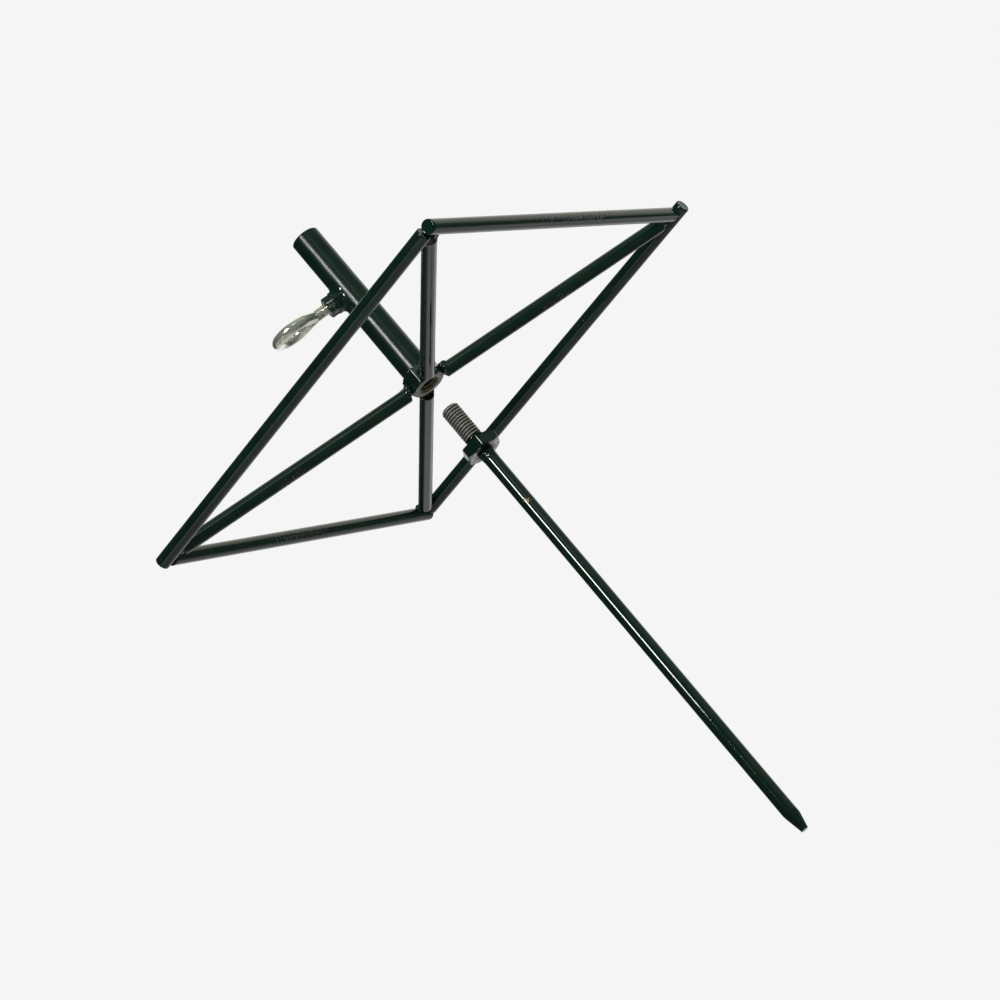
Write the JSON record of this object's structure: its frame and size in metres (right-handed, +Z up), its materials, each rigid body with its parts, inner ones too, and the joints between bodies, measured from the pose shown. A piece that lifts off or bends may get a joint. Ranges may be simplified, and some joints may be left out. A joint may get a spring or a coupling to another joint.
{
  "type": "pole ground stand",
  "caption": "Square welded bar frame with a central pole socket, a clamping eye bolt and a screw-in ground spike.",
  "frame": {"origin": "on the hub's axis, on the ground plane that the frame's bars lie on", "axes": "+Z up along the hub, the socket tube and the pole; +X and +Y along the frame's sides"},
  "size_m": [0.3, 0.3033, 0.5106],
  "materials": {
    "green_paint": "dark green gloss enamel, brushed on, with runs and small chips",
    "nut_steel": "dark green enamel on its sides, bare ground steel on its lower face",
    "bolt_steel": "dull grey-brown steel thread, green enamel on the sides of the head",
    "zinc_plate": "bright zinc plate with a faint yellow tint"
  },
  "bodies": {
    "frame": {"side_bar_front": "green_paint", "side_bar_right": "green_paint", "side_bar_back": "green_paint", "side_bar_left": "green_paint", "spoke_front_left": "green_paint", "spoke_front_right": "green_paint", "spoke_back_right": "green_paint", "spoke_back_left": "green_paint", "hub_nut": "nut_steel", "socket_tube": "green_paint", "clamp_nut": "green_paint", "corner_weld_front_left": "green_paint", "corner_weld_front_right": "green_paint", "corner_weld_back_right": "green_paint", "corner_weld_back_left": "green_paint", "hub_weld_front_left": "green_paint", "hub_weld_front_right": "green_paint", "hub_weld_back_right": "green_paint", "hub_weld_back_left": "green_paint", "tube_weld": "green_paint", "clamp_weld": "green_paint"},
    "eye_screw": {"eye_bolt_shank": "zinc_plate"},
    "eye": {"eye_bolt_ring": "zinc_plate"},
    "spike_screw": {"spike_weld": "green_paint"},
    "spike": {"spike_bolt": "bolt_steel", "spike_rod": "green_paint"}
  },
  "joints": [
    {"name": "spike_travel", "type": "slide", "parent": "frame", "child": "spike_screw", "axis": [0, 0, 1], "range_m": [0, 0.048]},
    {"name": "spike_turn", "type": "hinge", "parent": "spike_screw", "child": "spike", "pos_m": [0, 0, -0.0564], "axis": [0, 0, 1], "range_deg": [0, 8166]},
    {"name": "eye_travel", "type": "slide", "parent": "frame", "child": "eye_screw", "axis": [0.6428, -0.766, 0], "range_m": [-0.006, 0.005]},
    {"name": "eye_turn", "type": "hinge", "parent": "eye_screw", "child": "eye", "pos_m": [-0.01575, 0.01877, 0.087], "axis": [0.6428, -0.766, 0], "range_deg": [-1731, 1443]}
  ],
  "couplings": [
    {"joint": "spike_turn", "follows": "spike_travel", "rad_per_m": 2968.4},
    {"joint": "eye_turn", "follows": "eye_travel", "rad_per_m": 5026.5}
  ]
}
